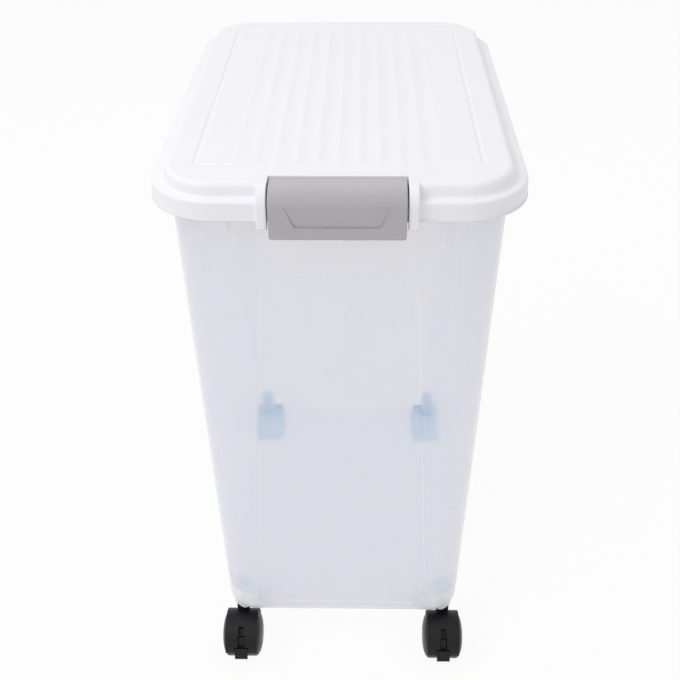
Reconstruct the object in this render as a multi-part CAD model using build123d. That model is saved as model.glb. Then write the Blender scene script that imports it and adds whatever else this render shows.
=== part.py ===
from build123d import *
import os
from math import atan2, cos, radians, sin

# Rolling ingredient bin: a tapered tub on four swivel casters, closed by a gasketed lid that
# hinges at the rear and is held by a swing latch at the front.
# Millimetres, Z up, front towards -Y, origin on the floor under the middle of the bin.

# Lid outline and levels
LID_WIDTH = 324.0
LID_LENGTH = 476.0
LID_CORNER = 62.0
BIN_HEIGHT = 590.0
PANEL_RISE = 12.5
SKIRT_DEPTH = 17.5
SHOULDER_SIDE = 13.0
SHOULDER_END = 8.2
PANEL_CORNER = 46.0
PANEL_DRAFT = 1.5
PANEL_EDGE = 5.5
SHOULDER_EDGE = 3.0
SHOULDER_FOOT = 2.5
SKIRT_LIP_PROUD = 0.7
SKIRT_LIP_HEIGHT = 1.6
LID_WALL = 2.2
PANEL_THICKNESS = 3.2

# Groove around the lid's panel and the flutes inside it
GROOVE_MARGIN_SIDE = 37.5
GROOVE_MARGIN_END = 44.0
GROOVE_CORNER = 8.5
GROOVE_WIDTH = 5.0
GROOVE_FLAT = 1.4
GROOVE_DEPTH = 0.8
FLUTE_COUNT = 10
FLUTE_PITCH = 17.6
FLUTE_WIDTH = 15.6
FLUTE_DEPTH = 0.7

# Plug rib and gasket under the lid
PLUG_GAP = 5.0
PLUG_DEPTH = 4.5
PLUG_WALL = 1.8
GASKET_THICKNESS = 2.3
GASKET_INSET = 5.4
GASKET_WIDTH = 4.6

# Tub
TUB_LOW_Z = 56.4
MOUTH_INSET_SIDE = 15.0
MOUTH_INSET_END = 19.3
TAPER_SIDE = 21.4
TAPER_END = 25.0
TUB_BASE_CORNER = 30.0
TUB_MOUTH_CORNER = 48.0
TUB_WALL = 2.2
TUB_FLOOR = 3.0
TUB_BOTTOM_EDGE = 14.0
RIM_GAP = 1.0
RIM_WALL = 2.2
RIM_DEPTH = 11.0

# Arched panel pressed to an even depth into each end wall, with sloped sides
ARCH_FOOT_RISE = 18.0
ARCH_CROWN_DROP = 76.0
ARCH_FOOT_INSET = 33.6
ARCH_LEAN = 21.5
ARCH_CORNER = 25.0
ARCH_FOOT_CORNER = 8.0
ARCH_DEPTH = 1.5
ARCH_SLOPE = 2.4

# Gussets under the rim
GUSSET_INSET = 57.0
GUSSET_WIDTH = 3.0
GUSSET_DEPTH = 63.0

# Latch, its pivot and the ears that hold it
LATCH_WIDTH = 113.0
LATCH_PROUD = 8.0
LATCH_DEPTH = 30.5
LATCH_TOP_DROP = 0.5
LATCH_NOSE = 15.0
LATCH_CORNER = 2.6
LATCH_WALL = 2.5
LATCH_CLEAR = 1.0
LATCH_RIB_PITCH = 27.0
LATCH_RIB_WALL = 1.8
LATCH_LIFT = 1.0
PIVOT_INSET = 19.5
PIVOT_DROP = 5.4
BARREL_RADIUS = 4.7
BAND_DROP = 0.5
BAND_END = 2.5
BAND_MIDDLE = 5.5
CREASE_WIDTH = 0.9
CREASE_DEPTH = 1.3
POCKET_GAP = 0.5
POCKET_EDGE = 0.8
TRUNNION_RADIUS = 2.8
TRUNNION_LENGTH = 6.5
PIVOT_FIT = 0.08
EAR_GAP = 1.2
EAR_WIDTH = 8.6
EAR_PROUD = 5.5
EAR_NOSE = 15.0
EAR_DEPTH = 22.0
EAR_EDGE = 1.2
HOOK_WIDTH = 88.0
HOOK_HEIGHT = 4.5
CATCH_PROUD = 0.4
CATCH_DROP = 1.0
CATCH_DEPTH = 6.0
CATCH_WALL = 2.4

# Thumb recess on the latch's face
THUMB_RISE = 11.0
THUMB_HEIGHT = 23.0
THUMB_LOW_WIDTH = 70.6
THUMB_HIGH_WIDTH = 90.0
THUMB_CORNER = 4.0
THUMB_DEPTH = 1.4

# Snap hinge at the rear
HINGE_X = 62.0
HINGE_DROP = 7.5
HINGE_BAR_RADIUS = 3.0
HINGE_FIT = 0.08
HINGE_HOOK_RADIUS = 5.2
HINGE_HOOK_WIDTH = 22.0
HINGE_MOUTH = 4.8
HINGE_MOUTH_TURN = 45.0
HINGE_LUG_WALL = 4.0
HINGE_LUG_GAP = 0.6
HINGE_LUG_HEIGHT = 26.0

# Casters
WHEEL_RADIUS = 25.0
CASTER_WIDTH = 44.0
CASTER_TRAIL = 16.0
STEM_INSET_SIDE = 14.1
STEM_INSET_END = 15.2
HOOD_RADIUS = 27.2
HOOD_WIDTH = 35.4
HOOD_WALL = 1.6
HOOD_EDGE = 1.0
HOOD_LOW_Z = 22.0
WEB_RADIUS = 24.0
WEB_WIDTH = 10.4
WEB_LOW_Z = 8.0
NECK_RADIUS = 7.0
NECK_ROOM = 0.5
NECK_LOW_Z = 30.0
SWIVEL_GAP = 0.2
AXLE_RADIUS = 3.0
AXLE_END_WALL = 3.0
AXLE_FIT = 0.05
AXLE_SEAT = 0.02
HUB_RADIUS = 7.0
HUB_GAP = 0.5
WHEEL_GAP = 0.6
WHEEL_DOME = 7.5
WHEEL_RIM_WALL = 2.6
WHEEL_DISC_WALL = 2.4
WHEEL_FLAT = 5.0
WINDOW_WIDTH = 6.0
WINDOW_LOW = 44.0
WINDOW_HIGH = 61.0
WINDOW_DEPTH = 5.0

# Caster stems, their sockets and grip rings
STEM_PIN_RADIUS = 3.4
STEM_PIN_LOW_Z = 30.0
STEM_FIT = 0.08
COLLAR_RADIUS = 7.0
COLLAR_HEIGHT = 1.5
STEM_RADIUS = 5.5
STEM_LENGTH = 22.0
STEM_CHAMFER = 1.0
GRIP_GROOVE_RADIUS = 4.2
GRIP_GROOVE_WIDTH = 3.0
GRIP_TOP_INSET = 4.0
GRIP_WALL = 1.2
GRIP_HEIGHT = 2.7
GRIP_SPLIT = 2.0
SOCKET_RADIUS = 9.0
SOCKET_BOTTOM_EDGE = 7.0
SOCKET_POCKET = 7.5
SOCKET_FIT = 0.1
SOCKET_ROOM = 1.0
SOCKET_CAP = 2.5

# Brake lever on the front casters; angles are elevations about the axle, in degrees
BRAKE_TOP = 37.0
BRAKE_LOW = -2.5
BRAKE_OUTER_DROP = 2.6
BRAKE_WALL = 5.0
BRAKE_WIDTH = 6.4
BRAKE_SLOT_GAP = 0.4
BRAKE_SLOT_TOP = 41.0
BRAKE_SLOT_LOW = -62.0
BRAKE_SLOT_RADIUS = 13.0
BRAKE_PIVOT_FORWARD = 19.5
BRAKE_PIVOT_RISE = 3.0
BRAKE_PIVOT_RADIUS = 1.5
BRAKE_PIVOT_END_GAP = 0.2
BRAKE_BOSS_RADIUS = 2.8
PEDAL_WIDTH = 14.0
PEDAL_SIDE_GAP = 0.6
PEDAL_TOP = 9.0
PEDAL_ROOM_TOP = 11.0
PEDAL_ROOM_LOW = -16.0
PEDAL_GAP = 1.0
PEDAL_FORWARD = 31.2
PEDAL_DROP = 7.0
PEDAL_WALL = 2.0

# Levels and places that follow from the sizes above
SHOULDER_Z = BIN_HEIGHT - PANEL_RISE
SKIRT_LOW_Z = SHOULDER_Z - SKIRT_DEPTH
SHOULDER_UNDER_Z = SHOULDER_Z - LID_WALL
RIM_Z = SHOULDER_UNDER_Z - GASKET_THICKNESS
RIM_LOW_Z = RIM_Z - RIM_DEPTH
TUB_MOUTH_WIDTH = LID_WIDTH - 2 * MOUTH_INSET_SIDE
TUB_MOUTH_LENGTH = LID_LENGTH - 2 * MOUTH_INSET_END
TUB_BASE_WIDTH = TUB_MOUTH_WIDTH - 2 * TAPER_SIDE
TUB_BASE_LENGTH = TUB_MOUTH_LENGTH - 2 * TAPER_END
ARCH_FOOT_Z = TUB_LOW_Z + ARCH_FOOT_RISE
ARCH_CROWN_Z = RIM_Z - ARCH_CROWN_DROP
ARCH_FOOT_HALF = TUB_BASE_WIDTH / 2 - ARCH_FOOT_INSET
GUSSET_X = TUB_MOUTH_WIDTH / 2 - GUSSET_INSET
GUSSET_LOW_Z = RIM_Z - GUSSET_DEPTH
LID_FRONT = -LID_LENGTH / 2
LID_REAR = LID_LENGTH / 2
SKIRT_FACE = LID_FRONT + SKIRT_LIP_PROUD
LATCH_FRONT = LID_FRONT - LATCH_PROUD
LATCH_TOP_Z = BIN_HEIGHT - LATCH_TOP_DROP
LATCH_LOW_Z = SHOULDER_Z - LATCH_DEPTH
LATCH_BACK = LID_FRONT - LATCH_CLEAR
LATCH_UNDER_Z = SHOULDER_Z + LATCH_LIFT
PIVOT_Y = LID_FRONT + PIVOT_INSET
PIVOT_Z = BIN_HEIGHT - PIVOT_DROP
POCKET_BACK = PIVOT_Y + BARREL_RADIUS + POCKET_GAP
EAR_INNER = LATCH_WIDTH / 2 + EAR_GAP
EAR_FRONT = LID_FRONT - EAR_PROUD
EAR_LOW_Z = SHOULDER_Z - EAR_DEPTH
THUMB_LOW_Z = LATCH_LOW_Z + THUMB_RISE
HINGE_Z = SKIRT_LOW_Z - HINGE_DROP
HINGE_Y = LID_REAR + LATCH_PROUD - HINGE_HOOK_RADIUS
STEM_X = TUB_BASE_WIDTH / 2 - STEM_INSET_SIDE
STEM_Y = TUB_BASE_LENGTH / 2 - STEM_INSET_END
SEAT_Z = TUB_LOW_Z + SOCKET_POCKET
COLLAR_LOW_Z = SEAT_Z - COLLAR_HEIGHT
NECK_TOP_Z = COLLAR_LOW_Z - SWIVEL_GAP
STEM_TOP_Z = SEAT_Z + STEM_LENGTH
SOCKET_TOP_Z = STEM_TOP_Z + SOCKET_ROOM
SOCKET_BORE = STEM_RADIUS + SOCKET_FIT
AXLE_END = CASTER_WIDTH / 2 - AXLE_END_WALL
WHEEL_INNER = WEB_WIDTH / 2 + WHEEL_GAP

# Room left past a face by a cutting body, depth to which an added piece sinks into its wall,
# and a distance small enough to tell one edge from the next
OVERCUT = 1.0
ROOT = 0.8
HAIR = 0.01

CORNERS = {
    "front_left": (-1, -1),
    "front_right": (1, -1),
    "rear_left": (-1, 1),
    "rear_right": (1, 1),
}


def slab(outline, low, high):
    """Upright block of a rounded rectangle (width, length, corner) between two levels."""
    return Pos(0, 0, low) * extrude(RectangleRounded(*outline), high - low)


def frustum(foot, head, low, high):
    """Straight loft from one rounded rectangle up to another."""
    sections = [
        Pos(0, 0, low) * RectangleRounded(*foot),
        Pos(0, 0, high) * RectangleRounded(*head),
    ]
    return loft(sections, ruled=True)


def inset(outline, distance):
    """The same rounded rectangle moved in by a distance all round."""
    width, length, corner = outline
    return width - 2 * distance, length - 2 * distance, corner - distance


def ring(outline, wall, low, high):
    """Upright band of a wall's thickness inside a rounded rectangle."""
    return slab(outline, low, high) - slab(inset(outline, wall), low, high)


def polygon(points):
    """Face bounded by straight lines through points on its plane."""
    return make_face(Polyline(*points, close=True))


def across(outline, middle_x, thickness):
    """Plate of a (y, z) outline, spread to both sides of a place along X."""
    return Pos(middle_x, 0, 0) * extrude(Plane.YZ * outline, thickness / 2, dir=(1, 0, 0), both=True)


def bar(y, z, radius, middle_x, length):
    """Round bar along X."""
    return Pos(middle_x, y, z) * Rot(0, 90, 0) * Cylinder(radius, length)


def span(low, high):
    """Box between two corners."""
    size = [b - a for a, b in zip(low, high)]
    return Pos(*low) * Box(*size, align=(Align.MIN, Align.MIN, Align.MIN))


def shown_edges(solid, back, low, top):
    """Edges of a plate's two sides that show: those in front of a place, and those along its top."""
    sides = solid.edges().filter_by(Axis.X, reverse=True)
    front = sides.filter_by_position(Axis.Y, -LID_LENGTH, back).filter_by_position(Axis.Z, low + HAIR, top)
    return front + sides.filter_by_position(Axis.Z, top - HAIR, top + HAIR)


def both_sides(part):
    """A piece and its mirror image across the middle plane."""
    return part + mirror(part, Plane.YZ)


def both_ends(part):
    """A piece of the front and its mirror image at the rear."""
    return part + mirror(part, Plane.XZ)


# Tub

def tub_outline(z, distance=0.0):
    """Rounded rectangle of the tapering tub at a level, moved in by a distance."""
    share = (z - TUB_LOW_Z) / (RIM_Z - TUB_LOW_Z)
    base = (TUB_BASE_WIDTH, TUB_BASE_LENGTH, TUB_BASE_CORNER)
    mouth = (TUB_MOUTH_WIDTH, TUB_MOUTH_LENGTH, TUB_MOUTH_CORNER)
    here = [a + share * (b - a) for a, b in zip(base, mouth)]
    return inset(here, distance)


def front_wall(z):
    """Y of the front wall's outer face at a level."""
    return -tub_outline(z)[1] / 2


RIM_OUTLINE = inset((LID_WIDTH, LID_LENGTH, LID_CORNER), SKIRT_LIP_PROUD + LID_WALL + RIM_GAP)


def arch_outline(grow):
    """Arched field of the front wall, drawn flat and grown by a distance all round."""
    low, high = ARCH_FOOT_Z - grow, ARCH_CROWN_Z + grow
    half_low = ARCH_FOOT_HALF + grow
    half_high = half_low - ARCH_LEAN
    field = polygon([(-half_low, low), (half_low, low), (half_high, high), (-half_high, high)])
    field = fillet(field.vertices().group_by(Axis.Y)[-1], ARCH_CORNER + grow)
    return fillet(field.vertices().group_by(Axis.Y)[0], ARCH_FOOT_CORNER + grow)


def arch_press(grow):
    """Body pressed square into the front wall: an arched field with sloped sides.

    A grown press, set back by the same distance, keeps the wall's thickness inside.
    """
    lean = atan2(TAPER_END, RIM_Z - TUB_LOW_Z)
    wall = Plane((0, front_wall(0), 0), x_dir=(1, 0, 0), z_dir=(0, -cos(lean), -sin(lean)))
    floor = wall.offset(-ARCH_DEPTH - grow) * arch_outline(grow - ARCH_SLOPE)
    mouth = wall.offset(ARCH_DEPTH - grow) * arch_outline(grow + ARCH_SLOPE)
    return loft([floor, mouth], ruled=True)


def rim():
    """Flange at the mouth with a turned-down lip, hidden by the lid's skirt."""
    return slab(RIM_OUTLINE, RIM_Z - RIM_WALL, RIM_Z) + ring(RIM_OUTLINE, RIM_WALL, RIM_LOW_Z, RIM_Z)


def rim_gusset():
    """Upright web from the front wall out to the rim's lip."""
    top = RIM_Z - RIM_WALL / 2
    lip = -RIM_OUTLINE[1] / 2 + RIM_WALL / 2
    points = [
        (front_wall(GUSSET_LOW_Z) + ROOT, GUSSET_LOW_Z),
        (lip, RIM_LOW_Z + OVERCUT),
        (lip, top),
        (front_wall(top) + ROOT, top),
    ]
    return across(polygon(points), GUSSET_X, GUSSET_WIDTH)


def latch_catch():
    """Ledge on the front wall with a turned-down edge for the latch's hook."""
    top = SKIRT_LOW_Z - CATCH_DROP
    low = top - CATCH_DEPTH
    edge = LID_FRONT - CATCH_PROUD
    points = [
        (front_wall(top) + ROOT, top),
        (edge, top),
        (edge, low),
        (edge + CATCH_WALL, low),
        (edge + CATCH_WALL, top - CATCH_WALL),
        (front_wall(top - CATCH_WALL) + ROOT, top - CATCH_WALL),
    ]
    return across(polygon(points), 0, HOOK_WIDTH)


def hinge_bracket():
    """Two lugs on the rear wall with a round bar between them."""
    step = HINGE_HOOK_WIDTH / 2 + HINGE_LUG_GAP + HINGE_LUG_WALL / 2
    top = HINGE_Z + HINGE_HOOK_RADIUS
    low = top - HINGE_LUG_HEIGHT
    points = [
        (-front_wall(low) - ROOT, low),
        (HINGE_Y, HINGE_Z - HINGE_HOOK_RADIUS),
        (HINGE_Y, top),
        (-front_wall(top) - ROOT, top),
    ]
    bracket = bar(HINGE_Y, HINGE_Z, HINGE_BAR_RADIUS, HINGE_X, 2 * step)
    for x in (HINGE_X - step, HINGE_X + step):
        bracket += across(polygon(points), x, HINGE_LUG_WALL)
        bracket += bar(HINGE_Y, HINGE_Z, HINGE_HOOK_RADIUS, x, HINGE_LUG_WALL)
    return bracket


def tub_hull(edge):
    """Solid tapered tub, rounded along its bottom edge."""
    hull = frustum(tub_outline(TUB_LOW_Z), tub_outline(RIM_Z), TUB_LOW_Z, RIM_Z)
    return fillet(hull.edges().group_by(Axis.Z)[0], edge)


def post(corner, radius, low, high):
    """Upright round bar on a caster's stem line."""
    side, end = corner
    return Pos(side * STEM_X, end * STEM_Y, low) * extrude(Circle(radius), high - low)


def sockets():
    """Bosses that take the casters' stems, standing a little proud of the rounded bottom corners."""
    bosses = Part()
    for corner in CORNERS.values():
        bosses += post(corner, SOCKET_RADIUS, TUB_LOW_Z, SOCKET_TOP_Z + SOCKET_CAP)
    return bosses & tub_hull(SOCKET_BOTTOM_EDGE)


def socket_bore(corner):
    """Blind hole for a stem, over a wider pocket for the swivel's neck."""
    pocket = post(corner, NECK_RADIUS + NECK_ROOM, TUB_LOW_Z - OVERCUT, SEAT_Z)
    return pocket + post(corner, SOCKET_BORE, SEAT_Z, SOCKET_TOP_Z)


def bin_body():
    """Tapered tub with its rim, pressed end panels, catch, hinge brackets and caster sockets."""
    body = tub_hull(TUB_BOTTOM_EDGE) - both_ends(arch_press(0))
    body += rim()
    body += both_ends(both_sides(rim_gusset()))
    body += latch_catch()
    body += both_sides(hinge_bracket())
    floor = TUB_LOW_Z + TUB_FLOOR
    mouth = RIM_Z + OVERCUT
    cavity = frustum(tub_outline(floor, TUB_WALL), tub_outline(mouth, TUB_WALL), floor, mouth)
    cavity = fillet(cavity.edges().group_by(Axis.Z)[0], TUB_BOTTOM_EDGE - TUB_WALL)
    body -= cavity - both_ends(arch_press(TUB_WALL))
    body += sockets()
    for corner in CORNERS.values():
        body -= socket_bore(corner)
    return body


# Lid

LID_OUTLINE = (LID_WIDTH, LID_LENGTH, LID_CORNER)
SKIRT_OUTLINE = inset(LID_OUTLINE, SKIRT_LIP_PROUD)


def panel_outline(z, distance=0.0):
    """Rounded rectangle of the drafted panel at a level, moved in by a distance."""
    foot = (LID_WIDTH - 2 * SHOULDER_SIDE, LID_LENGTH - 2 * SHOULDER_END, PANEL_CORNER)
    return inset(foot, distance + PANEL_DRAFT * (z - SHOULDER_Z) / PANEL_RISE)


def lid_pan():
    """Skirt, shoulder and raised panel as one thin moulding, open below."""
    skirt = slab(SKIRT_OUTLINE, SKIRT_LOW_Z, SHOULDER_Z)
    skirt = fillet(skirt.edges().group_by(Axis.Z)[-1], SHOULDER_EDGE)
    sunk = SHOULDER_Z - LID_WALL / 2
    panel = frustum(panel_outline(sunk), panel_outline(BIN_HEIGHT), sunk, BIN_HEIGHT)
    panel = fillet(panel.edges().group_by(Axis.Z)[-1], PANEL_EDGE)
    pan = skirt + panel
    width, length, _ = panel_outline(SHOULDER_Z - OVERCUT)
    at_foot = pan.edges().filter_by_position(Axis.Z, SHOULDER_Z - HAIR, SHOULDER_Z + HAIR)
    at_foot = at_foot.filter_by_position(Axis.X, -width / 2, width / 2)
    at_foot = at_foot.filter_by_position(Axis.Y, -length / 2, length / 2)
    pan = fillet(at_foot, SHOULDER_FOOT)
    pan += slab(LID_OUTLINE, SKIRT_LOW_Z, SKIRT_LOW_Z + SKIRT_LIP_HEIGHT)
    pan -= slab(inset(SKIRT_OUTLINE, LID_WALL), SKIRT_LOW_Z - OVERCUT, SHOULDER_UNDER_Z)
    ceiling = BIN_HEIGHT - PANEL_THICKNESS
    low = SHOULDER_UNDER_Z - OVERCUT
    hollow = frustum(panel_outline(low, LID_WALL), panel_outline(ceiling, LID_WALL), low, ceiling)
    return pan - fillet(hollow.edges().group_by(Axis.Z)[-1], PANEL_EDGE - LID_WALL)


def plug_rib():
    """Ring under the panel that drops into the tub's mouth."""
    outline = tub_outline(RIM_Z, TUB_WALL + PLUG_GAP)
    return ring(outline, PLUG_WALL, RIM_Z - PLUG_DEPTH, BIN_HEIGHT - PANEL_THICKNESS + ROOT)


def ear():
    """Guard beside the latch, rounded over at the front, that holds one end of its pivot."""
    nose_y = EAR_FRONT + EAR_NOSE
    nose_z = BIN_HEIGHT - EAR_NOSE
    back = POCKET_BACK + LID_WALL
    half = EAR_NOSE * sin(radians(45))
    outline = Line((back, BIN_HEIGHT), (nose_y, BIN_HEIGHT))
    outline += ThreePointArc((nose_y, BIN_HEIGHT), (nose_y - half, nose_z + half), (EAR_FRONT, nose_z))
    outline += Polyline(
        (EAR_FRONT, nose_z),
        (EAR_FRONT, EAR_LOW_Z),
        (SKIRT_FACE + LID_WALL / 2, EAR_LOW_Z),
        (SKIRT_FACE + LID_WALL / 2, SHOULDER_Z - LID_WALL / 2),
        (back, SHOULDER_Z - LID_WALL / 2),
        (back, BIN_HEIGHT),
    )
    solid = across(make_face(outline), EAR_INNER + EAR_WIDTH / 2, EAR_WIDTH)
    return fillet(shown_edges(solid, LID_FRONT, EAR_LOW_Z, BIN_HEIGHT), EAR_EDGE)


def latch_seat():
    """Ears, floor and back wall round the latch's pivot pocket."""
    under = BIN_HEIGHT - PANEL_THICKNESS / 2
    back = span((-EAR_INNER, POCKET_BACK, SHOULDER_UNDER_Z), (EAR_INNER, POCKET_BACK + LID_WALL, under))
    front = LID_FRONT + SHOULDER_END
    floor = span((-EAR_INNER, front, SHOULDER_UNDER_Z), (EAR_INNER, POCKET_BACK, SHOULDER_Z))
    return both_sides(ear()) + back + floor


def latch_pocket():
    """Room for the latch's barrel and nose between the ears, with the bores of its stubs."""
    pocket = span((-EAR_INNER, LATCH_FRONT, SHOULDER_Z), (EAR_INNER, POCKET_BACK, BIN_HEIGHT + OVERCUT))
    reach = 2 * (LATCH_WIDTH / 2 + TRUNNION_LENGTH + OVERCUT)
    return pocket + bar(PIVOT_Y, PIVOT_Z, TRUNNION_RADIUS + PIVOT_FIT, 0, reach)


def panel_groove():
    """Flat-bottomed groove with sloped walls, all round the panel."""
    edge = (LID_WIDTH - 2 * GROOVE_MARGIN_SIDE, LID_LENGTH - 2 * GROOVE_MARGIN_END, GROOVE_CORNER)
    slope = (GROOVE_WIDTH - GROOVE_FLAT) / 2
    low, high = BIN_HEIGHT - GROOVE_DEPTH, BIN_HEIGHT + GROOVE_DEPTH
    outer = frustum(inset(edge, slope), inset(edge, -slope), low, high)
    island = frustum(inset(edge, slope + GROOVE_FLAT), inset(edge, GROOVE_WIDTH + slope), low, high)
    return outer - island


def flutes():
    """Shallow round flutes along the panel, from one end of the groove to the other."""
    length = LID_LENGTH - 2 * GROOVE_MARGIN_END - GROOVE_WIDTH
    radius = (FLUTE_WIDTH**2 / 4 + FLUTE_DEPTH**2) / (2 * FLUTE_DEPTH)
    flute = Rot(90, 0, 0) * Cylinder(radius, length)
    flute &= span((-FLUTE_WIDTH, -length, -radius), (FLUTE_WIDTH, length, FLUTE_DEPTH + ROOT - radius))
    first = -(FLUTE_COUNT - 1) / 2 * FLUTE_PITCH
    level = BIN_HEIGHT - FLUTE_DEPTH + radius
    return [Pos(first + number * FLUTE_PITCH, 0, level) * flute for number in range(FLUTE_COUNT)]


def hinge_hook():
    """Snap hook below the rear skirt, open towards the rear and down."""
    root = LID_REAR - SKIRT_LIP_PROUD - LID_WALL / 2
    points = [
        (root, SHOULDER_Z - SKIRT_DEPTH / 2),
        (HINGE_Y, SHOULDER_Z - SKIRT_DEPTH / 2 - (HINGE_Y - root)),
        (HINGE_Y + HINGE_HOOK_RADIUS, HINGE_Z),
        (HINGE_Y, HINGE_Z),
        (root, SKIRT_LOW_Z),
    ]
    hook = across(polygon(points), HINGE_X, HINGE_HOOK_WIDTH)
    hook += bar(HINGE_Y, HINGE_Z, HINGE_HOOK_RADIUS, HINGE_X, HINGE_HOOK_WIDTH)
    hook -= bar(HINGE_Y, HINGE_Z, HINGE_BAR_RADIUS + HINGE_FIT, HINGE_X, 2 * HINGE_HOOK_WIDTH)
    half = HINGE_MOUTH / 2
    mouth = span((-HINGE_HOOK_WIDTH, -half, -2 * HINGE_HOOK_RADIUS), (HINGE_HOOK_WIDTH, half, 0))
    return hook - Pos(HINGE_X, HINGE_Y, HINGE_Z) * Rot(HINGE_MOUTH_TURN, 0, 0) * mouth


def lid_shell():
    """Lid moulding: fluted pan in a groove, plug rib, latch seat and hinge hooks."""
    shell = lid_pan() + plug_rib() + latch_seat()
    shell -= latch_pocket()
    brink = shell.edges().filter_by(Axis.X)
    brink = brink.filter_by_position(Axis.Y, POCKET_BACK - HAIR, POCKET_BACK + HAIR)
    shell = fillet(brink.group_by(Axis.Z)[-1], POCKET_EDGE)
    shell = shell - flutes() - panel_groove()
    return shell + both_sides(hinge_hook())


def lid_gasket():
    """Flat seal ring between the lid's shoulder and the rim."""
    outline = inset(LID_OUTLINE, GASKET_INSET)
    return ring(outline, GASKET_WIDTH, RIM_Z, SHOULDER_UNDER_Z)


# Latch

def latch_side(wall):
    """Outline of the latch from the side, moved in by a wall from its top, nose and front."""
    nose_y = LATCH_FRONT + LATCH_NOSE
    nose_z = LATCH_TOP_Z - LATCH_NOSE
    radius = LATCH_NOSE - wall
    half = radius * sin(radians(45))
    low = LATCH_LOW_Z - (OVERCUT if wall else 0)
    outline = Line((PIVOT_Y, LATCH_TOP_Z - wall), (nose_y, LATCH_TOP_Z - wall))
    outline += ThreePointArc(
        (nose_y, nose_z + radius), (nose_y - half, nose_z + half), (nose_y - radius, nose_z)
    )
    outline += Polyline(
        (nose_y - radius, nose_z),
        (nose_y - radius, low),
        (LATCH_BACK, low),
        (LATCH_BACK, LATCH_UNDER_Z),
        (PIVOT_Y, LATCH_UNDER_Z),
        (PIVOT_Y, LATCH_TOP_Z - wall),
    )
    return make_face(outline)


def latch_hook():
    """Sloped bead along the lower edge, inside."""
    root = LATCH_FRONT + LATCH_WALL / 2
    points = [
        (root, LATCH_LOW_Z),
        (LATCH_BACK, LATCH_LOW_Z),
        (LATCH_BACK, LATCH_LOW_Z + HOOK_HEIGHT / 2),
        (root, LATCH_LOW_Z + HOOK_HEIGHT),
    ]
    return across(polygon(points), 0, HOOK_WIDTH)


def thumb_recess():
    """Wedge pressed into the face: narrow and deepest below, and run out to nothing at its top."""
    low, high = THUMB_LOW_WIDTH / 2, THUMB_HIGH_WIDTH / 2
    top = THUMB_LOW_Z + THUMB_HEIGHT
    field = polygon([(-low, THUMB_LOW_Z), (low, THUMB_LOW_Z), (high, top), (-high, top)])
    field = fillet(field.vertices().group_by(Axis.Y)[0], THUMB_CORNER)
    back, front = LATCH_FRONT + THUMB_DEPTH, LATCH_FRONT - THUMB_DEPTH
    block = Pos(0, back, 0) * extrude(Plane.XZ * field, back - front, dir=(0, -1, 0))
    wedge = [(front, THUMB_LOW_Z), (back, THUMB_LOW_Z), (LATCH_FRONT, top), (front, top)]
    return block & across(polygon(wedge), 0, THUMB_HIGH_WIDTH)


def latch_band():
    """Room over the sunk band along the latch's back edge, and a crease before it that bows forward."""
    half = LATCH_WIDTH / 2 + OVERCUT
    end = PIVOT_Y - BAND_END
    brink = end + CREASE_WIDTH
    bow = ThreePointArc((-half, end), (0, PIVOT_Y - BAND_MIDDLE), (half, end))
    band = bow + Polyline((half, end), (half, POCKET_BACK), (-half, POCKET_BACK), (-half, end))
    crease = bow + Pos(0, CREASE_WIDTH, 0) * bow
    crease += [Line((side, end), (side, brink)) for side in (-half, half)]
    room = Pos(0, 0, LATCH_TOP_Z - BAND_DROP) * extrude(make_face(band), 2 * BAND_DROP)
    return room + Pos(0, 0, LATCH_TOP_Z - CREASE_DEPTH) * extrude(make_face(crease), 2 * CREASE_DEPTH)


def lid_latch():
    """Hollow swing latch: rounded cover, ribs, pivot barrel with end stubs and a hook bead."""
    cover = across(latch_side(0), 0, LATCH_WIDTH)
    feet = cover.edges().filter_by(Axis.Y).group_by(Axis.Z)[0]
    cover = fillet(feet, LATCH_CORNER)
    cover = fillet(shown_edges(cover, LATCH_BACK - HAIR, LATCH_LOW_Z, LATCH_TOP_Z), EAR_EDGE)
    barrel = bar(PIVOT_Y, PIVOT_Z, BARREL_RADIUS, 0, LATCH_WIDTH)
    hollow = across(latch_side(LATCH_WALL), 0, LATCH_WIDTH - 2 * LATCH_WALL) - barrel
    for number in (-1, 0, 1):
        hollow -= across(latch_side(0), number * LATCH_RIB_PITCH, LATCH_RIB_WALL)
    latch = cover + barrel - hollow - latch_band()
    latch += bar(PIVOT_Y, PIVOT_Z, TRUNNION_RADIUS, 0, LATCH_WIDTH + 2 * TRUNNION_LENGTH)
    latch += latch_hook()
    return latch - thumb_recess()


# Casters, drawn for the front with the stem on the Z axis and the wheels trailing towards -Y

def from_axle(forward, rise):
    """(y, z) of a place measured forward and up from the axle."""
    return -CASTER_TRAIL - forward, WHEEL_RADIUS + rise


def on_hood(radius, elevation):
    """(y, z) of a place at a radius and elevation about the axle."""
    return from_axle(radius * cos(radians(elevation)), radius * sin(radians(elevation)))


def hood_arc(radius, start, end):
    """Arc about the axle from one elevation to another."""
    return ThreePointArc(on_hood(radius, start), on_hood(radius, (start + end) / 2), on_hood(radius, end))


def hood_sector(inner, outer, low, high):
    """Four-sided outline between two radii and two elevations."""
    return polygon([on_hood(inner, low), on_hood(outer, low), on_hood(outer, high), on_hood(inner, high)])


def axle_bar(radius, length, middle_x=0.0):
    """Round bar on the axle's line."""
    y, z = from_axle(0, 0)
    return bar(y, z, radius, middle_x, length)


def brake_bar(radius, length):
    """Round bar on the brake lever's pivot line."""
    y, z = from_axle(BRAKE_PIVOT_FORWARD, BRAKE_PIVOT_RISE)
    return bar(y, z, radius, 0, length)


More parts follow.
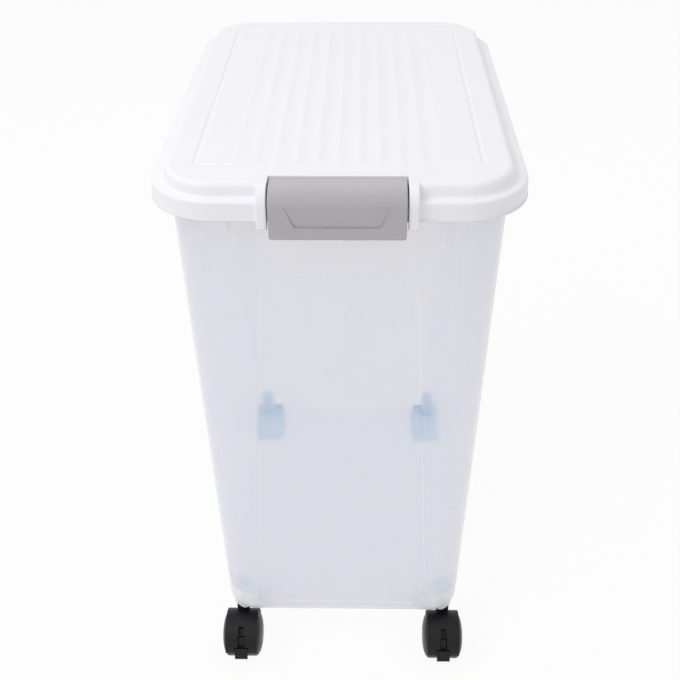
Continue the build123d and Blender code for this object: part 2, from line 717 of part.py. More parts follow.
def brake_room():
    """Slot in the web for the lever's body and a wider gap in the hood's front for its pedal."""
    slot = hood_sector(BRAKE_SLOT_RADIUS, 2 * HOOD_RADIUS, BRAKE_SLOT_LOW, BRAKE_SLOT_TOP)
    gap = hood_sector(WHEEL_RADIUS, 2 * HOOD_RADIUS, PEDAL_ROOM_LOW, PEDAL_ROOM_TOP)
    room = across(slot, 0, BRAKE_WIDTH + 2 * BRAKE_SLOT_GAP)
    return room + across(gap, 0, PEDAL_WIDTH + 2 * PEDAL_SIDE_GAP)


def caster_hood(braked):
    """Round fender over both wheels, carried by a middle web, with the swivel neck on top."""
    hood = axle_bar(HOOD_RADIUS, HOOD_WIDTH)
    hood = fillet(hood.edges().filter_by(GeomType.CIRCLE), HOOD_EDGE)
    hood += Pos(0, 0, NECK_LOW_Z) * extrude(Circle(NECK_RADIUS), NECK_TOP_Z - NECK_LOW_Z)
    room = (HOOD_WIDTH - WEB_WIDTH) / 2 + OVERCUT
    hood -= both_sides(axle_bar(HOOD_RADIUS - HOOD_WALL, room, (WEB_WIDTH + room) / 2))
    reach = 2 * HOOD_RADIUS
    foot = -reach - CASTER_TRAIL
    hood -= span((-reach, foot, -reach), (reach, reach, HOOD_LOW_Z)) - axle_bar(WEB_RADIUS, WEB_WIDTH)
    hood -= span((-reach, foot, -reach), (reach, reach, WEB_LOW_Z))
    if braked:
        hood -= brake_room()
        hood -= brake_bar(BRAKE_PIVOT_RADIUS + PIVOT_FIT, HOOD_WIDTH)
    window = hood_sector(HOOD_RADIUS - WINDOW_DEPTH, 2 * HOOD_RADIUS, WINDOW_LOW, WINDOW_HIGH)
    hood -= across(window, 0, WINDOW_WIDTH)
    bore_low = STEM_PIN_LOW_Z - SWIVEL_GAP
    bore = extrude(Circle(STEM_PIN_RADIUS + STEM_FIT), NECK_TOP_Z - bore_low + OVERCUT)
    hood -= Pos(0, 0, bore_low) * bore
    return hood - axle_bar(AXLE_RADIUS + AXLE_SEAT, HOOD_WIDTH)


def caster_wheel():
    """Right-hand wheel: tread under the hood, face domed to a quarter ellipse, and a hub on the axle."""
    outer = CASTER_WIDTH / 2
    tread = outer - WHEEL_DOME
    hub_end = WEB_WIDTH / 2 + HUB_GAP
    rim = WHEEL_RADIUS - WHEEL_RIM_WALL
    profile = Polyline(
        (outer, WHEEL_FLAT),
        (outer, 0),
        (hub_end, 0),
        (hub_end, HUB_RADIUS),
        (outer - WHEEL_DISC_WALL, HUB_RADIUS),
        (tread - WHEEL_DISC_WALL, rim),
        (WHEEL_INNER, rim),
        (WHEEL_INNER, WHEEL_RADIUS),
        (tread, WHEEL_RADIUS),
    )
    profile += EllipticalCenterArc((tread, WHEEL_FLAT), WHEEL_DOME, WHEEL_RADIUS - WHEEL_FLAT, arc_size=90)
    wheel = revolve(make_face(profile), Axis.X)
    depth = AXLE_END + HUB_GAP - hub_end
    wheel -= Pos(hub_end + depth / 2, 0, 0) * Rot(0, 90, 0) * Cylinder(AXLE_RADIUS + AXLE_FIT, depth)
    y, z = from_axle(0, 0)
    return Pos(0, y, z) * wheel


def caster_axle():
    """Plain pin through the hood and into both wheels."""
    pin = axle_bar(AXLE_RADIUS, 2 * AXLE_END)
    return chamfer(pin.edges().filter_by(GeomType.CIRCLE), AXLE_RADIUS / 6)


def caster_stem():
    """Swivel pin, collar under the tub, and socket shank with a groove for the grip ring."""
    groove_top = STEM_TOP_Z - GRIP_TOP_INSET
    groove_low = groove_top - GRIP_GROOVE_WIDTH
    profile = Polyline(
        (0, STEM_PIN_LOW_Z),
        (STEM_PIN_RADIUS - STEM_CHAMFER, STEM_PIN_LOW_Z),
        (STEM_PIN_RADIUS, STEM_PIN_LOW_Z + STEM_CHAMFER),
        (STEM_PIN_RADIUS, COLLAR_LOW_Z),
        (COLLAR_RADIUS, COLLAR_LOW_Z),
        (COLLAR_RADIUS, SEAT_Z),
        (STEM_RADIUS, SEAT_Z),
        (STEM_RADIUS, groove_low),
        (GRIP_GROOVE_RADIUS, groove_low),
        (GRIP_GROOVE_RADIUS, groove_top),
        (STEM_RADIUS, groove_top),
        (STEM_RADIUS, STEM_TOP_Z - STEM_CHAMFER),
        (STEM_RADIUS - STEM_CHAMFER, STEM_TOP_Z),
        (0, STEM_TOP_Z),
        close=True,
    )
    return revolve(Plane.XZ * make_face(profile), Axis.Z)


def grip_ring():
    """Split spring ring in the stem's groove, bearing on the socket."""
    middle = STEM_TOP_Z - GRIP_TOP_INSET - GRIP_GROOVE_WIDTH / 2
    outer = SOCKET_BORE - SOCKET_FIT / 4
    ring = Cylinder(outer, GRIP_HEIGHT) - Cylinder(outer - GRIP_WALL, GRIP_HEIGHT)
    ring -= span((-GRIP_SPLIT / 2, 0, -GRIP_HEIGHT), (GRIP_SPLIT / 2, 2 * outer, GRIP_HEIGHT))
    return Pos(0, 0, middle) * ring


def brake_lever():
    """Curved body in the web's slot, set back from the hood, with stubs and a wide pedal below."""
    outer = HOOD_RADIUS - BRAKE_OUTER_DROP
    inner = outer - BRAKE_WALL
    shoe = WHEEL_RADIUS + PEDAL_GAP
    face = shoe + PEDAL_WALL
    body = hood_arc(outer, BRAKE_TOP, PEDAL_TOP)
    body += Polyline(on_hood(outer, PEDAL_TOP), on_hood(face, PEDAL_TOP), on_hood(face, BRAKE_LOW))
    body += Line(on_hood(face, BRAKE_LOW), on_hood(inner, BRAKE_LOW))
    body += hood_arc(inner, BRAKE_LOW, BRAKE_TOP)
    body += Line(on_hood(inner, BRAKE_TOP), on_hood(outer, BRAKE_TOP))
    lever = across(make_face(body), 0, BRAKE_WIDTH)
    pedal = hood_arc(shoe, BRAKE_LOW, PEDAL_TOP)
    pedal += Polyline(
        on_hood(shoe, PEDAL_TOP),
        on_hood(face, PEDAL_TOP),
        from_axle(PEDAL_FORWARD, -PEDAL_DROP),
        from_axle(PEDAL_FORWARD - PEDAL_WALL / 2, -PEDAL_DROP - PEDAL_WALL),
        on_hood(shoe, BRAKE_LOW),
    )
    lever += across(make_face(pedal), 0, PEDAL_WIDTH)
    lever += brake_bar(BRAKE_BOSS_RADIUS, BRAKE_WIDTH)
    return lever + brake_bar(BRAKE_PIVOT_RADIUS, WEB_WIDTH - 2 * BRAKE_PIVOT_END_GAP)


def at_corner(part, side, end):
    """Carry a caster piece to its corner, turned to trail away from the bin's middle."""
    turn = 0 if end < 0 else 180
    return Pos(side * STEM_X, end * STEM_Y, 0) * Rot(0, 0, turn) * part


def caster_parts():
    """Every piece of the four casters by name."""
    right = caster_wheel()
    left = mirror(right, Plane.YZ)
    shared = {
        "stem": caster_stem(),
        "grip_ring": grip_ring(),
        "axle": caster_axle(),
    }
    parts = {}
    for corner, (side, end) in CORNERS.items():
        braked = end < 0
        pieces = dict(shared)
        pieces["hood"] = caster_hood(braked)
        pieces["wheel_left"], pieces["wheel_right"] = (left, right) if braked else (right, left)
        if braked:
            pieces["brake_lever"] = brake_lever()
        for name, piece in pieces.items():
            parts[f"{corner}_{name}"] = at_corner(piece, side, end)
    return parts


def main():
    parts = {
        "bin_body": bin_body(),
        "lid_shell": lid_shell(),
        "lid_gasket": lid_gasket(),
        "lid_latch": lid_latch(),
    }
    parts.update(caster_parts())
    os.makedirs("parts", exist_ok=True)
    for name, part in parts.items():
        export_step(part, f"parts/{name}.step")


if __name__ == "__main__":
    main()
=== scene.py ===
from math import pi, radians

import bpy
from bpy.props import FloatProperty, FloatVectorProperty, PointerProperty
from mathutils import Matrix, Vector

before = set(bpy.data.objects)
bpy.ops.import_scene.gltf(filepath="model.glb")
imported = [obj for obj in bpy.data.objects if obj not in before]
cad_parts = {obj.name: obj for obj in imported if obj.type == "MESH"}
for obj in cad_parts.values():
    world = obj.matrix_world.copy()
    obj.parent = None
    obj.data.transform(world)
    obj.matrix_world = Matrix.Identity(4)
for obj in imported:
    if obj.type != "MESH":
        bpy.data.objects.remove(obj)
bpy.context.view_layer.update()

bl_info = {
    "name": "Rolling Ingredient Bin",
    "version": (1, 0, 0),
    "blender": (4, 5, 0),
    "location": "View3D > Sidebar > Ingredient Bin",
    "description": "Dresses the packed bin in its moulded plastics and metals and sets it on a studio floor",
    "category": "Object",
}

MM = 0.001
WHITE = (1.0, 1.0, 1.0, 1.0)
CORNERS = ("front_left", "front_right", "rear_left", "rear_right")

# The photograph's frame and the camera that was fitted to it
IMAGE_WIDTH_PX = 680
FOCAL_PX = 1053.8
SENSOR_WIDTH_MM = 36.0
CAMERA_PLACE_MM = (21.3, -1012.4, 943.9)
CAMERA_PITCH_DEG = 32.749
CAMERA_YAW_DEG = -1.493
CAMERA_ROLL_DEG = -0.50

# Studio lamps, in metres: each one's side, its place and the point that it faces
LAMPS = {
    "key": {"side": 1.4, "place": (-1.3, -1.0, 2.0), "aim": (0.0, 0.0, 0.35)},
    "top": {"side": 2.4, "place": (0.0, 0.5, 2.6), "aim": (0.0, 0.0, 0.3)},
    "fill": {"side": 1.4, "place": (1.6, -1.2, 1.0), "aim": (0.0, 0.0, 0.4)},
}

# Sockets of a Mix node set to colours: its two colours and its result
MIX_FIRST = 6
MIX_SECOND = 7
MIX_RESULT = 2

# Noise values between which a patch goes from its least to its most
PATCH_LOW = 0.3
PATCH_HIGH = 0.7

# Indices of refraction
POLYPROPYLENE_IOR = 1.49
ABS_IOR = 1.53
SILICONE_IOR = 1.41
NYLON_IOR = 1.53

# The casters' smooth wheels and their duller hoods
HOOD_ROUGHNESS = 0.46
WHEEL_ROUGHNESS = 0.36

# How much harder the tub's plastic scatters red, green and blue, beside red
SCATTER_RGB = (1.0, 1.35, 1.92)

# The tub's wall at a grazing angle: what it lets through, what glows through, and how early it turns so
GRAZING_CLEAR = 0.15
GRAZING_GLOW = 0.4
GRAZING_BLEND = 0.35

# The tub's thick front sockets: each ramp goes from the thin wall to full haze
SOCKET_HAZE = 0.93
SOCKET_RAMPS_MM = {"X": (80.0, 100.0), "Y": (-150.0, -165.0), "Z": (105.0, 85.0)}

# The arched fields of the tub's end walls, as the solid has them, and their sloped edge, along which the
# wall is made clearer as a painted highlight: a bright line
ARCH_CROWN_MM = 496.4
ARCH_FOOT_MM = 80.0
ARCH_FLOOR_HALF_MM = 95.8
ARCH_LEAN = 0.0509
ARCH_CORNER_MM = 25.0
ARCH_EDGE_INSET_MM = 1.2
ARCH_EDGE_HALF_MM = 1.7
ARCH_EDGE_PAINTED_HIGHLIGHT = 0.17

# The webs under the tub's rim, in which the wall is made clearer as a painted highlight: bright lines
GUSSET_X_MM = 90.0
GUSSET_HALF_MM = 1.6
GUSSET_FOOT_MM = 512.0
GUSSET_PAINTED_HIGHLIGHT = 0.15


# Colours and nodes

def linear(hex_code):
    """sRGB hex to linear RGBA: the sRGB curve undone on each channel."""
    channels = [int(hex_code[i:i + 2], 16) / 255 for i in (0, 2, 4)]
    return tuple(c / 12.92 if c <= 0.04045 else ((c + 0.055) / 1.055) ** 2.4 for c in channels) + (1.0,)


def per_metre(size_mm):
    """Texture scale, in repeats per metre, of a feature that is size_mm across."""
    return 1.0 / (size_mm * MM)


def add_node(tree, kind, inputs=None, **settings):
    """Add a node, set its properties, and give each named input a value or a link from a socket."""
    made = tree.nodes.new(kind)
    for name, value in settings.items():
        setattr(made, name, value)
    for name, value in (inputs or {}).items():
        if isinstance(value, bpy.types.NodeSocket):
            tree.links.new(value, made.inputs[name])
        else:
            made.inputs[name].default_value = value
    return made


def new_material(name):
    """Empty node material, returned with its tree."""
    made = bpy.data.materials.new(name)
    made.use_nodes = True
    made.node_tree.nodes.clear()
    return made, made.node_tree


def show(tree, shader_socket):
    """Send a shader to the material's output."""
    add_node(tree, "ShaderNodeOutputMaterial", {"Surface": shader_socket})


def patches(tree, size_mm, detail):
    """Socket of soft noise, 0 to 1, with patches of a size."""
    place = add_node(tree, "ShaderNodeTexCoord").outputs["Object"]
    inputs = {"Vector": place, "Scale": per_metre(size_mm), "Detail": detail}
    return add_node(tree, "ShaderNodeTexNoise", inputs).outputs["Fac"]


def skin(tree, roughness, spread, patch_mm, grain_mm, relief_mm, edge_mm=0.0):
    """Sockets for a moulded skin: roughness that drifts in patches, and a normal from a fine grain.

    The grain is drawn coarser than a real mould's, so that it shows. With edge_mm, the normal also rounds
    each sharp edge over that radius, as a mould's edges do.
    """
    drift = add_node(tree, "ShaderNodeMapRange", {
        "Value": patches(tree, patch_mm, detail=3.0),
        "From Min": PATCH_LOW,
        "From Max": PATCH_HIGH,
        "To Min": roughness - spread,
        "To Max": roughness + spread,
    })
    relief = {"Height": patches(tree, grain_mm, detail=2.0), "Distance": relief_mm * MM, "Strength": 1.0}
    if edge_mm:
        relief["Normal"] = add_node(tree, "ShaderNodeBevel", {"Radius": edge_mm * MM}).outputs["Normal"]
    bump = add_node(tree, "ShaderNodeBump", relief)
    return drift.outputs["Result"], bump.outputs["Normal"]


def flow_tint(tree, colour, share, patch_mm):
    """Colour that drifts to both sides of its mean by up to a share, in soft patches."""
    dark, light = [[c * (1.0 + side * share) for c in colour[:3]] + [1.0] for side in (-1.0, 1.0)]
    mixed = add_node(tree, "ShaderNodeMix", {
        "Factor": patches(tree, patch_mm, detail=2.0), MIX_FIRST: dark, MIX_SECOND: light,
    }, data_type="RGBA")
    return mixed.outputs[MIX_RESULT]


def plain_view(tree):
    """1 for rays from the camera, off a gloss or through the tub, which see white, and 0 for the rest."""
    path = add_node(tree, "ShaderNodeLightPath").outputs
    seen = add_node(tree, "ShaderNodeMath", {
        0: path["Is Camera Ray"], 1: path["Is Glossy Ray"],
    }, operation="ADD")
    return add_node(tree, "ShaderNodeMath", {
        0: seen.outputs[0], 1: path["Is Transmission Ray"],
    }, operation="ADD", use_clamp=True).outputs[0]


# The tub's material

def wall_places(tree):
    """Sockets for a point of the tub: its distance from the middle plane as X, and its Y and Z."""
    place = add_node(tree, "ShaderNodeTexCoord").outputs["Object"]
    axes = add_node(tree, "ShaderNodeSeparateXYZ", {0: place}).outputs
    aside = add_node(tree, "ShaderNodeMath", {0: axes["X"]}, operation="ABSOLUTE")
    return {"X": aside.outputs[0], "Y": axes["Y"], "Z": axes["Z"]}


def corner_sockets(tree, places):
    """SOCKET_HAZE in the two front corner sockets, else 0: a ramp on each axis, multiplied together."""
    haze = SOCKET_HAZE
    for axis, (empty, full) in SOCKET_RAMPS_MM.items():
        ramp = add_node(tree, "ShaderNodeMapRange", {
            "Value": places[axis], "From Min": empty * MM, "From Max": full * MM,
        })
        product = add_node(tree, "ShaderNodeMath", {0: ramp.outputs[0], 1: haze}, operation="MULTIPLY")
        haze = product.outputs[0]
    return haze


def painted_highlight_above(tree, mask, places, foot_mm, highlight_clearness):
    """A mask times how much clearer the wall is made there for a painted highlight, and 0 below a foot."""
    above = add_node(tree, "ShaderNodeMath", {0: places["Z"], 1: foot_mm * MM}, operation="GREATER_THAN")
    above = add_node(tree, "ShaderNodeMath", {0: above.outputs[0], 1: highlight_clearness}, operation="MULTIPLY")
    return add_node(tree, "ShaderNodeMath", {0: mask, 1: above.outputs[0]}, operation="MULTIPLY").outputs[0]


def arch_edge_painted_highlight(tree, places):
    """The painted highlight's share along the sloped edge of the arched fields, else 0: the wall is made
    clearer there so that the edge shows as a bright line.

    The distance from the arch's two corner centres, counted only outwards and upwards, is compared with
    the radius at which the edge's middle runs.
    """
    half = add_node(tree, "ShaderNodeMath", {
        0: places["Z"], 1: -ARCH_LEAN, 2: (ARCH_FLOOR_HALF_MM - ARCH_CORNER_MM) * MM,
    }, operation="MULTIPLY_ADD")
    out = add_node(tree, "ShaderNodeMath", {0: places["X"], 1: half.outputs[0]}, operation="SUBTRACT")
    up = add_node(tree, "ShaderNodeMath", {
        0: places["Z"], 1: (ARCH_CROWN_MM - ARCH_CORNER_MM) * MM,
    }, operation="SUBTRACT")
    past = add_node(tree, "ShaderNodeCombineXYZ", {"X": out.outputs[0], "Y": up.outputs[0]})
    past = add_node(tree, "ShaderNodeVectorMath", {
        0: past.outputs[0], 1: (0.0, 0.0, 0.0),
    }, operation="MAXIMUM")
    reach = add_node(tree, "ShaderNodeVectorMath", {0: past.outputs[0]}, operation="LENGTH")
    edge = add_node(tree, "ShaderNodeMath", {
        0: reach.outputs["Value"],
        1: (ARCH_CORNER_MM - ARCH_EDGE_INSET_MM) * MM,
        2: ARCH_EDGE_HALF_MM * MM,
    }, operation="COMPARE")
    return painted_highlight_above(tree, edge.outputs[0], places, ARCH_FOOT_MM, ARCH_EDGE_PAINTED_HIGHLIGHT)


def rim_gusset_painted_highlight(tree, places):
    """The painted highlight's share in the thin webs under the rim, else 0: a slot across, above the webs'
    foot, where the wall is made clearer so that the webs show as bright lines.
    """
    web = add_node(tree, "ShaderNodeMath", {
        0: places["X"], 1: GUSSET_X_MM * MM, 2: GUSSET_HALF_MM * MM,
    }, operation="COMPARE")
    return painted_highlight_above(tree, web.outputs[0], places, GUSSET_FOOT_MM, GUSSET_PAINTED_HIGHLIGHT)


def wall_thinness_and_highlight(tree):
    """1 on the plain wall, less in the thick front sockets, and more at the arch's edge and in the webs,
    where the wall is made clearer as a painted highlight.
    """
    places = wall_places(tree)
    thinness_and_highlight = add_node(tree, "ShaderNodeMath", {0: 1.0, 1: corner_sockets(tree, places)}, operation="SUBTRACT")
    # The arch's edge and the webs add painted highlights: the wall is made clearer in lines there.
    for painted_highlight in (arch_edge_painted_highlight(tree, places), rim_gusset_painted_highlight(tree, places)):
        thinness_and_highlight = add_node(tree, "ShaderNodeMath", {0: thinness_and_highlight.outputs[0], 1: painted_highlight}, operation="ADD")
    return thinness_and_highlight.outputs[0]


def share_by_angle(tree, edge_on, thinness_and_highlight, square_on, grazing):
    """Share that goes from its value seen square on to its value at a grazing angle, times the thinness,
    which holds the painted highlights at the arch's edge and in the webs.
    """
    share = add_node(tree, "ShaderNodeMapRange", {"Value": edge_on, "To Min": square_on, "To Max": grazing})
    product = add_node(tree, "ShaderNodeMath", {0: share.outputs["Result"], 1: thinness_and_highlight}, operation="MULTIPLY")
    return product.outputs[0]


def natural_polypropylene(look):
    """Natural polypropylene, injection moulded.

    A milky wall under a soft gloss. It scatters blue light more than red, so what is pale behind it shows
    through almost neutral and what is dark shows blue. The haze thickens where the wall is seen edge on and
    in the front sockets. Along the edge of the arched fields and in the webs under the rim, the wall is made
    clearer as a painted highlight, so that they show as bright lines.
    """
    made, tree = new_material("natural_polypropylene_moulded")
    roughness, normal = skin(
        tree, roughness=0.3, spread=0.015, patch_mm=150, grain_mm=1.6, relief_mm=0.008
    )
    square_on = 1.0 - look.tub_haze_share
    # Thinness, with the painted highlights at the arch's edge and in the webs added in.
    thinness_and_highlight = wall_thinness_and_highlight(tree)
    edge_on = add_node(tree, "ShaderNodeLayerWeight", {"Blend": GRAZING_BLEND}).outputs["Facing"]
    clear = share_by_angle(tree, edge_on, thinness_and_highlight, square_on, GRAZING_CLEAR)
    through = share_by_angle(tree, edge_on, thinness_and_highlight, look.tub_glow_share, GRAZING_GLOW)
    channels = [
        add_node(tree, "ShaderNodeMath", {0: clear, 1: power}, operation="POWER").outputs[0]
        for power in SCATTER_RGB
    ]
    passed = add_node(tree, "ShaderNodeCombineXYZ", dict(enumerate(channels))).outputs[0]
    depth = add_node(tree, "ShaderNodeMapRange", {
        "Value": clear, "From Max": square_on, "To Min": 1.0, "To Max": 0.0,
    })
    haze = add_node(tree, "ShaderNodeMix", {
        "Factor": depth.outputs["Result"], MIX_FIRST: look.tub_haze, MIX_SECOND: look.tub_thick_haze,
    }, data_type="RGBA").outputs[MIX_RESULT]
    behind = add_node(tree, "ShaderNodeVectorMath", {0: passed, 1: haze}, operation="MULTIPLY")
    caught = add_node(tree, "ShaderNodeVectorMath", {
        0: haze, 1: behind.outputs[0],
    }, operation="SUBTRACT").outputs[0]
    front = add_node(tree, "ShaderNodeBsdfPrincipled", {
        "Base Color": caught, "Roughness": roughness, "Normal": normal, "IOR": POLYPROPYLENE_IOR,
    })
    glow = add_node(tree, "ShaderNodeBsdfTranslucent", {"Color": caught})
    milk = add_node(tree, "ShaderNodeMixShader", {0: through, 1: front.outputs[0], 2: glow.outputs[0]})
    rest = add_node(tree, "ShaderNodeBsdfTransparent", {"Color": passed})
    wall = add_node(tree, "ShaderNodeAddShader", {0: milk.outputs[0], 1: rest.outputs[0]})
    show(tree, wall.outputs[0])
    return made


# The other materials

def opaque(name, colour, tint, surface, fixed):
    """Material of an opaque piece: a drifting colour, a skin, and the sockets that are the same all over."""
    made, tree = new_material(name)
    roughness, normal = skin(tree, **surface)
    shader = add_node(tree, "ShaderNodeBsdfPrincipled", {
        "Base Color": flow_tint(tree, colour, **tint), "Roughness": roughness, "Normal": normal, **fixed,
    })
    show(tree, shader.outputs[0])
    return made


def white_polypropylene(look):
    """White polypropylene, injection moulded: a satin skin with faint patches of flow in its gloss."""
    return opaque(
        "white_polypropylene_moulded",
        look.lid_colour,
        tint={"share": 0.012, "patch_mm": 60},
        surface={
            "roughness": 0.42, "spread": 0.05, "patch_mm": 45, "grain_mm": 1.2, "relief_mm": 0.01,
            "edge_mm": 0.8,
        },
        fixed={"IOR": POLYPROPYLENE_IOR},
    )


def grey_abs(look):
    """Grey ABS, injection moulded with a fine spark-eroded grain: even and satin, with a soft highlight."""
    return opaque(
        "grey_abs_moulded",
        look.latch_colour,
        tint={"share": 0.05, "patch_mm": 18},
        surface={
            "roughness": 0.4, "spread": 0.04, "patch_mm": 25, "grain_mm": 0.7, "relief_mm": 0.012,
            "edge_mm": 1.2,
        },
        fixed={"IOR": ABS_IOR, "Coat Weight": 1.0, "Coat Roughness": 0.3},
    )


def white_silicone(look):
    """White silicone, press moulded: matt, with the faint patches of a cured rubber."""
    return opaque(
        "white_silicone_moulded",
        look.gasket_colour,
        tint={"share": 0.06, "patch_mm": 15},
        surface={"roughness": 0.6, "spread": 0.05, "patch_mm": 12, "grain_mm": 0.6, "relief_mm": 0.01},
        fixed={"IOR": SILICONE_IOR},
    )


def black_nylon(look, name, roughness):
    """Black nylon, injection moulded: deep black with a broad soft sheen and a fine grain."""
    return opaque(
        name,
        look.caster_colour,
        tint={"share": 0.3, "patch_mm": 8},
        surface={
            "roughness": roughness, "spread": 0.05, "patch_mm": 9, "grain_mm": 0.5, "relief_mm": 0.012,
            "edge_mm": 0.6,
        },
        fixed={"IOR": NYLON_IOR, "Specular IOR Level": 0.25},
    )


def zinc_plated_steel(look):
    """Turned steel, zinc plated: a cool grey metal with a fine grain and dull patches."""
    return opaque(
        "zinc_plated_steel_turned",
        look.steel_colour,
        tint={"share": 0.15, "patch_mm": 4},
        surface={"roughness": 0.34, "spread": 0.08, "patch_mm": 3, "grain_mm": 0.5, "relief_mm": 0.006},
        fixed={"Metallic": 1.0},
    )


def studio_paper(look):
    """White studio paper: pale and matt, held near white for what looks at it while shadows still show.

    The white is no lamp, so it isn't sampled as one.
    """
    made, tree = new_material("white_studio_paper")
    made.cycles.emission_sampling = "NONE"
    paper = add_node(tree, "ShaderNodeBsdfDiffuse", {"Color": look.floor_colour})
    glow = add_node(tree, "ShaderNodeEmission", {"Color": WHITE, "Strength": 1.0})
    seen = add_node(tree, "ShaderNodeMath", {0: plain_view(tree), 1: look.floor_glow}, operation="MULTIPLY")
    mixed = add_node(tree, "ShaderNodeMixShader", {
        0: seen.outputs[0], 1: paper.outputs[0], 2: glow.outputs[0],
    })
    show(tree, mixed.outputs[0])
    return made


def paint(node, material):
    """Give a CAD node one material."""
    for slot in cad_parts[node].material_slots:
        slot.material = material


# Settings

class BinLooks(bpy.types.PropertyGroup):
    """Colours and shares of the bin's finishes."""

    tub_haze: FloatVectorProperty(
        name="Tub haze", description="Colour that the tub's wall scatters", subtype="COLOR", size=4,
        default=linear("e2ebf5"),
    )
    tub_thick_haze: FloatVectorProperty(
        name="Tub haze, thick", description="Colour that the tub scatters where it is thick or seen edge on",
        subtype="COLOR", size=4, default=linear("fbfbfd"),
    )
    tub_haze_share: FloatProperty(
        name="Tub haze share", description="Share of red light that each face of the wall scatters",
        default=0.23, min=0.0, max=1.0, subtype="FACTOR",
    )
    tub_glow_share: FloatProperty(
        name="Tub glow share", description="Share of the haze that comes through from the other side",
        default=0.72, min=0.0, max=1.0, subtype="FACTOR",
    )
    lid_colour: FloatVectorProperty(
        name="Lid", description="Colour of the lid's plastic", subtype="COLOR", size=4,
        default=linear("f6f5fa"),
    )
    latch_colour: FloatVectorProperty(
        name="Latch", description="Colour of the latch's plastic", subtype="COLOR", size=4,
        default=linear("aeabae"),
    )
    gasket_colour: FloatVectorProperty(
        name="Gasket", description="Colour of the seal ring", subtype="COLOR", size=4,
        default=linear("e6e6e6"),
    )
    caster_colour: FloatVectorProperty(
        name="Casters", description="Colour of the casters' plastic", subtype="COLOR", size=4,
        default=linear("0d0d10"),
    )
    steel_colour: FloatVectorProperty(
        name="Steel", description="Colour of stems, axles and rings", subtype="COLOR", size=4,
        default=linear("c2c5c9"),
    )


class BinStudio(bpy.types.PropertyGroup):
    """Floor and light."""

    floor_colour: FloatVectorProperty(
        name="Floor", description="Colour of the studio paper", subtype="COLOR", size=4,
        default=linear("f2f2f2"),
    )
    floor_glow: FloatProperty(
        name="Floor white", description="Share of plain white that the camera and mirrors see on the floor",
        default=0.92, min=0.0, max=1.0, subtype="FACTOR",
    )
    floor_half: FloatProperty(
        name="Floor reach", description="Half the floor's side", default=6.0, unit="LENGTH",
    )
    sky: FloatProperty(
        name="Sky", description="Strength of the even light from all round", default=0.60, min=0.0,
    )
    key_power: FloatProperty(
        name="Key light", description="Power of the large lamp at the upper left", default=16.3,
        subtype="POWER",
    )
    top_power: FloatProperty(
        name="Top light", description="Power of the large lamp overhead", default=8.0, subtype="POWER",
    )
    fill_power: FloatProperty(
        name="Fill light", description="Power of the weak lamp at the lower right", default=2.5,
        subtype="POWER",
    )


# The stage

def studio_floor(settings):
    """Flat square at floor level, four corners at plus and minus its half side."""
    half = settings.floor_half
    corners = [(-half, -half, 0.0), (half, -half, 0.0), (half, half, 0.0), (-half, half, 0.0)]
    mesh = bpy.data.meshes.new("studio_floor")
    mesh.from_pydata(corners, [], [(0, 1, 2, 3)])
    mesh.materials.append(studio_paper(settings))
    floor = bpy.data.objects.new("studio_floor", mesh)
    bpy.context.scene.collection.objects.link(floor)


def studio_sky(settings):
    """Even light from all round, which the camera and mirrors see as plain white."""
    world = bpy.data.worlds.new("studio")
    bpy.context.scene.world = world
    world.use_nodes = True
    tree = world.node_tree
    tree.nodes.clear()
    light = add_node(tree, "ShaderNodeBackground", {"Color": WHITE, "Strength": settings.sky})
    shown = add_node(tree, "ShaderNodeBackground", {"Color": WHITE, "Strength": 1.0})
    mixed = add_node(tree, "ShaderNodeMixShader", {
        0: plain_view(tree), 1: light.outputs[0], 2: shown.outputs[0],
    })
    add_node(tree, "ShaderNodeOutputWorld", {"Surface": mixed.outputs[0]})


def studio_lamp(name, power, side, place, aim):
    """Square lamp that faces a point."""
    data = bpy.data.lights.new(name, "AREA")
    data.energy = power
    data.size = side
    lamp = bpy.data.objects.new(name, data)
    bpy.context.scene.collection.objects.link(lamp)
    lamp.location = place
    lamp.rotation_mode = "QUATERNION"
    lamp.rotation_quaternion = (lamp.location - Vector(aim)).to_track_quat("Z", "Y")


def studio_camera():
    """Camera at the fitted place: turned about the vertical, tipped down, then rolled about its own axis."""
    data = bpy.data.cameras.new("studio_camera")
    data.sensor_width = SENSOR_WIDTH_MM
    data.lens = SENSOR_WIDTH_MM * FOCAL_PX / IMAGE_WIDTH_PX
    camera = bpy.data.objects.new("studio_camera", data)
    bpy.context.scene.collection.objects.link(camera)
    turn = Matrix.Rotation(radians(-CAMERA_YAW_DEG), 4, "Z")
    tip = Matrix.Rotation(pi / 2 - radians(CAMERA_PITCH_DEG), 4, "X")
    roll = Matrix.Rotation(radians(CAMERA_ROLL_DEG), 4, "Z")
    place = Matrix.Translation([c * MM for c in CAMERA_PLACE_MM])
    camera.matrix_world = place @ turn @ tip @ roll
    bpy.context.scene.camera = camera


# Operators

class BIN_OT_tub(bpy.types.Operator):
    """Finish the tub in natural polypropylene"""

    bl_idname = "bin.tub"
    bl_label = "Finish the tub"

    def execute(self, context):
        paint("bin_body", natural_polypropylene(context.scene.bin_looks))
        return {"FINISHED"}


class BIN_OT_lid(bpy.types.Operator):
    """Finish the lid and its gasket"""

    bl_idname = "bin.lid"
    bl_label = "Finish the lid"

    def execute(self, context):
        looks = context.scene.bin_looks
        paint("lid_shell", white_polypropylene(looks))
        paint("lid_gasket", white_silicone(looks))
        return {"FINISHED"}


class BIN_OT_latch(bpy.types.Operator):
    """Finish the swing latch"""

    bl_idname = "bin.latch"
    bl_label = "Finish the latch"

    def execute(self, context):
        paint("lid_latch", grey_abs(context.scene.bin_looks))
        return {"FINISHED"}


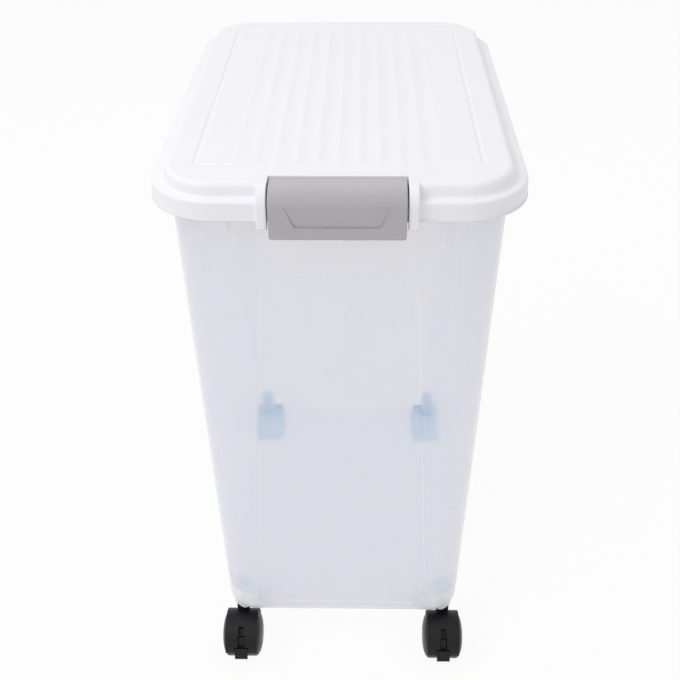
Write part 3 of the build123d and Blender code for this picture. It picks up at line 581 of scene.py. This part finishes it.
class BIN_OT_casters(bpy.types.Operator):
    """Finish the casters, their stems and brake levers"""

    bl_idname = "bin.casters"
    bl_label = "Finish the casters"

    def execute(self, context):
        looks = context.scene.bin_looks
        hood = black_nylon(looks, "black_nylon_hood", HOOD_ROUGHNESS)
        wheel = black_nylon(looks, "black_nylon_wheel", WHEEL_ROUGHNESS)
        steel = zinc_plated_steel(looks)
        finish = {
            "hood": hood,
            "brake_lever": hood,
            "wheel_left": wheel,
            "wheel_right": wheel,
            "stem": steel,
            "grip_ring": steel,
            "axle": steel,
        }
        for corner in CORNERS:
            for piece, material in finish.items():
                if f"{corner}_{piece}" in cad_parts:
                    paint(f"{corner}_{piece}", material)
        return {"FINISHED"}


class BIN_OT_stage(bpy.types.Operator):
    """Set up the floor, light and camera"""

    bl_idname = "bin.stage"
    bl_label = "Set the stage"

    def execute(self, context):
        settings = context.scene.bin_studio
        studio_floor(settings)
        studio_sky(settings)
        powers = {"key": settings.key_power, "top": settings.top_power, "fill": settings.fill_power}
        for name, power in powers.items():
            studio_lamp(f"{name}_lamp", power, **LAMPS[name])
        studio_camera()
        context.scene.view_settings.view_transform = "Standard"
        return {"FINISHED"}


class BIN_PT_panel(bpy.types.Panel):
    """Lists the bin's operators and settings"""

    bl_idname = "BIN_PT_panel"
    bl_label = "Ingredient Bin"
    bl_space_type = "VIEW_3D"
    bl_region_type = "UI"
    bl_category = "Ingredient Bin"

    def draw(self, context):
        for operator in OPERATORS:
            self.layout.operator(operator.bl_idname)
        for group in (context.scene.bin_looks, context.scene.bin_studio):
            for name in group.__annotations__:
                self.layout.prop(group, name)


OPERATORS = (BIN_OT_tub, BIN_OT_lid, BIN_OT_latch, BIN_OT_casters, BIN_OT_stage)
CLASSES = (BinLooks, BinStudio, *OPERATORS, BIN_PT_panel)


def register():
    for cls in CLASSES:
        bpy.utils.register_class(cls)
    bpy.types.Scene.bin_looks = PointerProperty(type=BinLooks)
    bpy.types.Scene.bin_studio = PointerProperty(type=BinStudio)


def unregister():
    del bpy.types.Scene.bin_studio
    del bpy.types.Scene.bin_looks
    for cls in reversed(CLASSES):
        bpy.utils.unregister_class(cls)


def main():
    register()
    bpy.ops.bin.tub()
    bpy.ops.bin.lid()
    bpy.ops.bin.latch()
    bpy.ops.bin.casters()
    bpy.ops.bin.stage()


if __name__ == "__main__":
    main()
